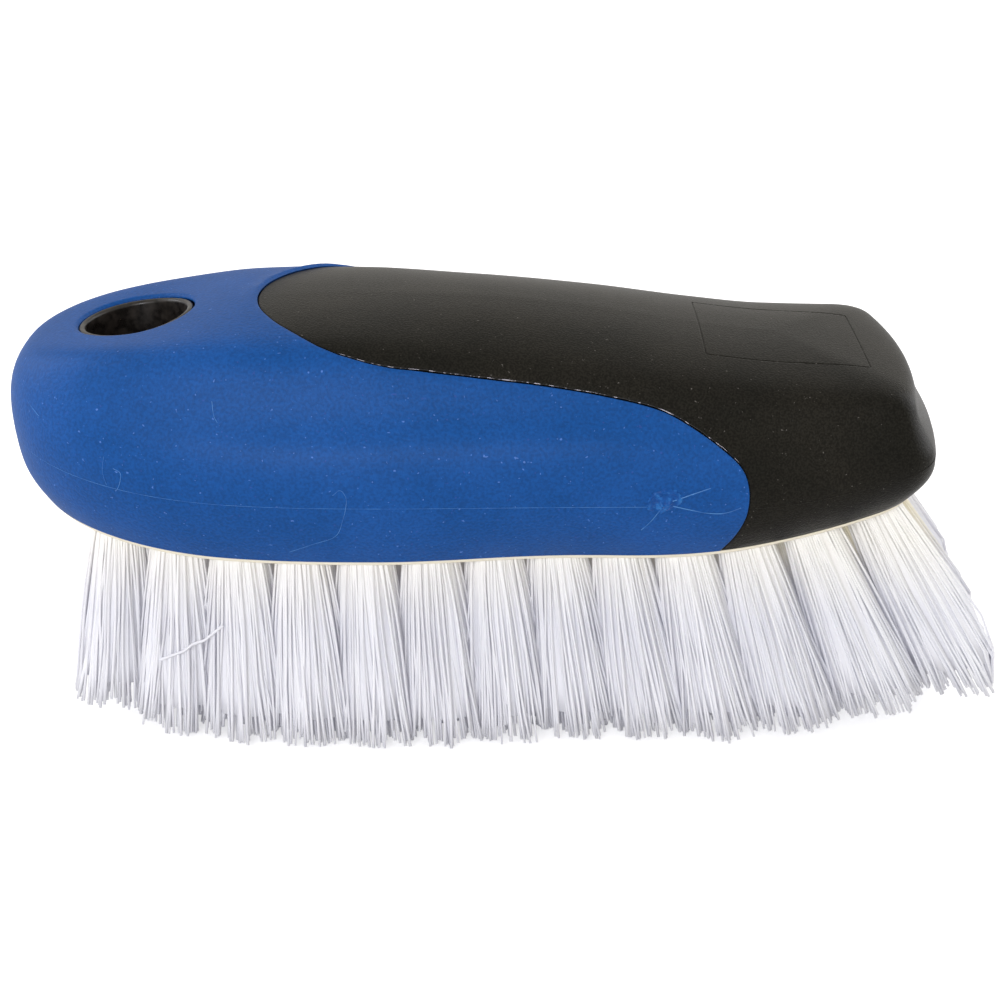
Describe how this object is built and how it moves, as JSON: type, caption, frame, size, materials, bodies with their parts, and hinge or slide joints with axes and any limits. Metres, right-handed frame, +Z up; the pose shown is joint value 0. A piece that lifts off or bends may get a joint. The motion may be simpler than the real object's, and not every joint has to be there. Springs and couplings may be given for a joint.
{
  "type": "scrub brush",
  "caption": "Palm scrub brush with a soft blue grip moulded over a black handle, a round hang hole at the tail and rows of stiff white bristles in an ivory block.",
  "frame": {"origin": "on the ground under the middle of the brush's bounding box, which stands on the trimmed bristle tips", "axes": "+X along the brush from the hang hole to the nose, +Y across it, +Z up"},
  "size_m": [0.165, 0.0648, 0.0689],
  "materials": {
    "black_polypropylene": "spark-textured, slightly glossy",
    "blue_soft_rubber": "matte, fine spark texture",
    "ivory_polypropylene": "smooth, semi-matte",
    "white_bristle": "translucent stiff filament",
    "zinc_plated_steel": "bright zinc plating"
  },
  "bodies": {
    "root": {"handle_core": "black_polypropylene", "grip_overmould": "blue_soft_rubber", "bristle_block": "ivory_polypropylene", "screw_1": "zinc_plated_steel", "screw_2": "zinc_plated_steel", "screw_3": "zinc_plated_steel", "tuft_centre_04": "white_bristle", "tuft_centre_05": "white_bristle", "tuft_centre_06": "white_bristle", "tuft_centre_08": "white_bristle", "tuft_centre_09": "white_bristle", "tuft_centre_10": "white_bristle", "tuft_centre_13": "white_bristle", "tuft_far_01": "white_bristle", "tuft_far_02": "white_bristle", "tuft_far_03": "white_bristle", "tuft_far_04": "white_bristle", "tuft_far_05": "white_bristle", "tuft_far_06": "white_bristle", "tuft_far_07": "white_bristle", "tuft_far_08": "white_bristle", "tuft_far_09": "white_bristle", "tuft_far_10": "white_bristle", "tuft_far_11": "white_bristle", "tuft_far_12": "white_bristle", "tuft_far_13": "white_bristle", "tuft_far_inner_03": "white_bristle", "tuft_far_inner_04": "white_bristle", "tuft_far_inner_05": "white_bristle", "tuft_far_inner_06": "white_bristle", "tuft_far_inner_07": "white_bristle", "tuft_far_inner_08": "white_bristle", "tuft_far_inner_09": "white_bristle", "tuft_far_inner_10": "white_bristle", "tuft_far_inner_11": "white_bristle", "tuft_far_inner_12": "white_bristle", "tuft_near_01": "white_bristle", "tuft_near_02": "white_bristle", "tuft_near_03": "white_bristle", "tuft_near_04": "white_bristle", "tuft_near_05": "white_bristle", "tuft_near_06": "white_bristle", "tuft_near_07": "white_bristle", "tuft_near_08": "white_bristle", "tuft_near_09": "white_bristle", "tuft_near_10": "white_bristle", "tuft_near_11": "white_bristle", "tuft_near_12": "white_bristle", "tuft_near_13": "white_bristle", "tuft_near_inner_03": "white_bristle", "tuft_near_inner_04": "white_bristle", "tuft_near_inner_05": "white_bristle", "tuft_near_inner_06": "white_bristle", "tuft_near_inner_07": "white_bristle", "tuft_near_inner_08": "white_bristle", "tuft_near_inner_09": "white_bristle", "tuft_near_inner_10": "white_bristle", "tuft_near_inner_11": "white_bristle", "tuft_near_inner_12": "white_bristle"}
  },
  "joints": []
}
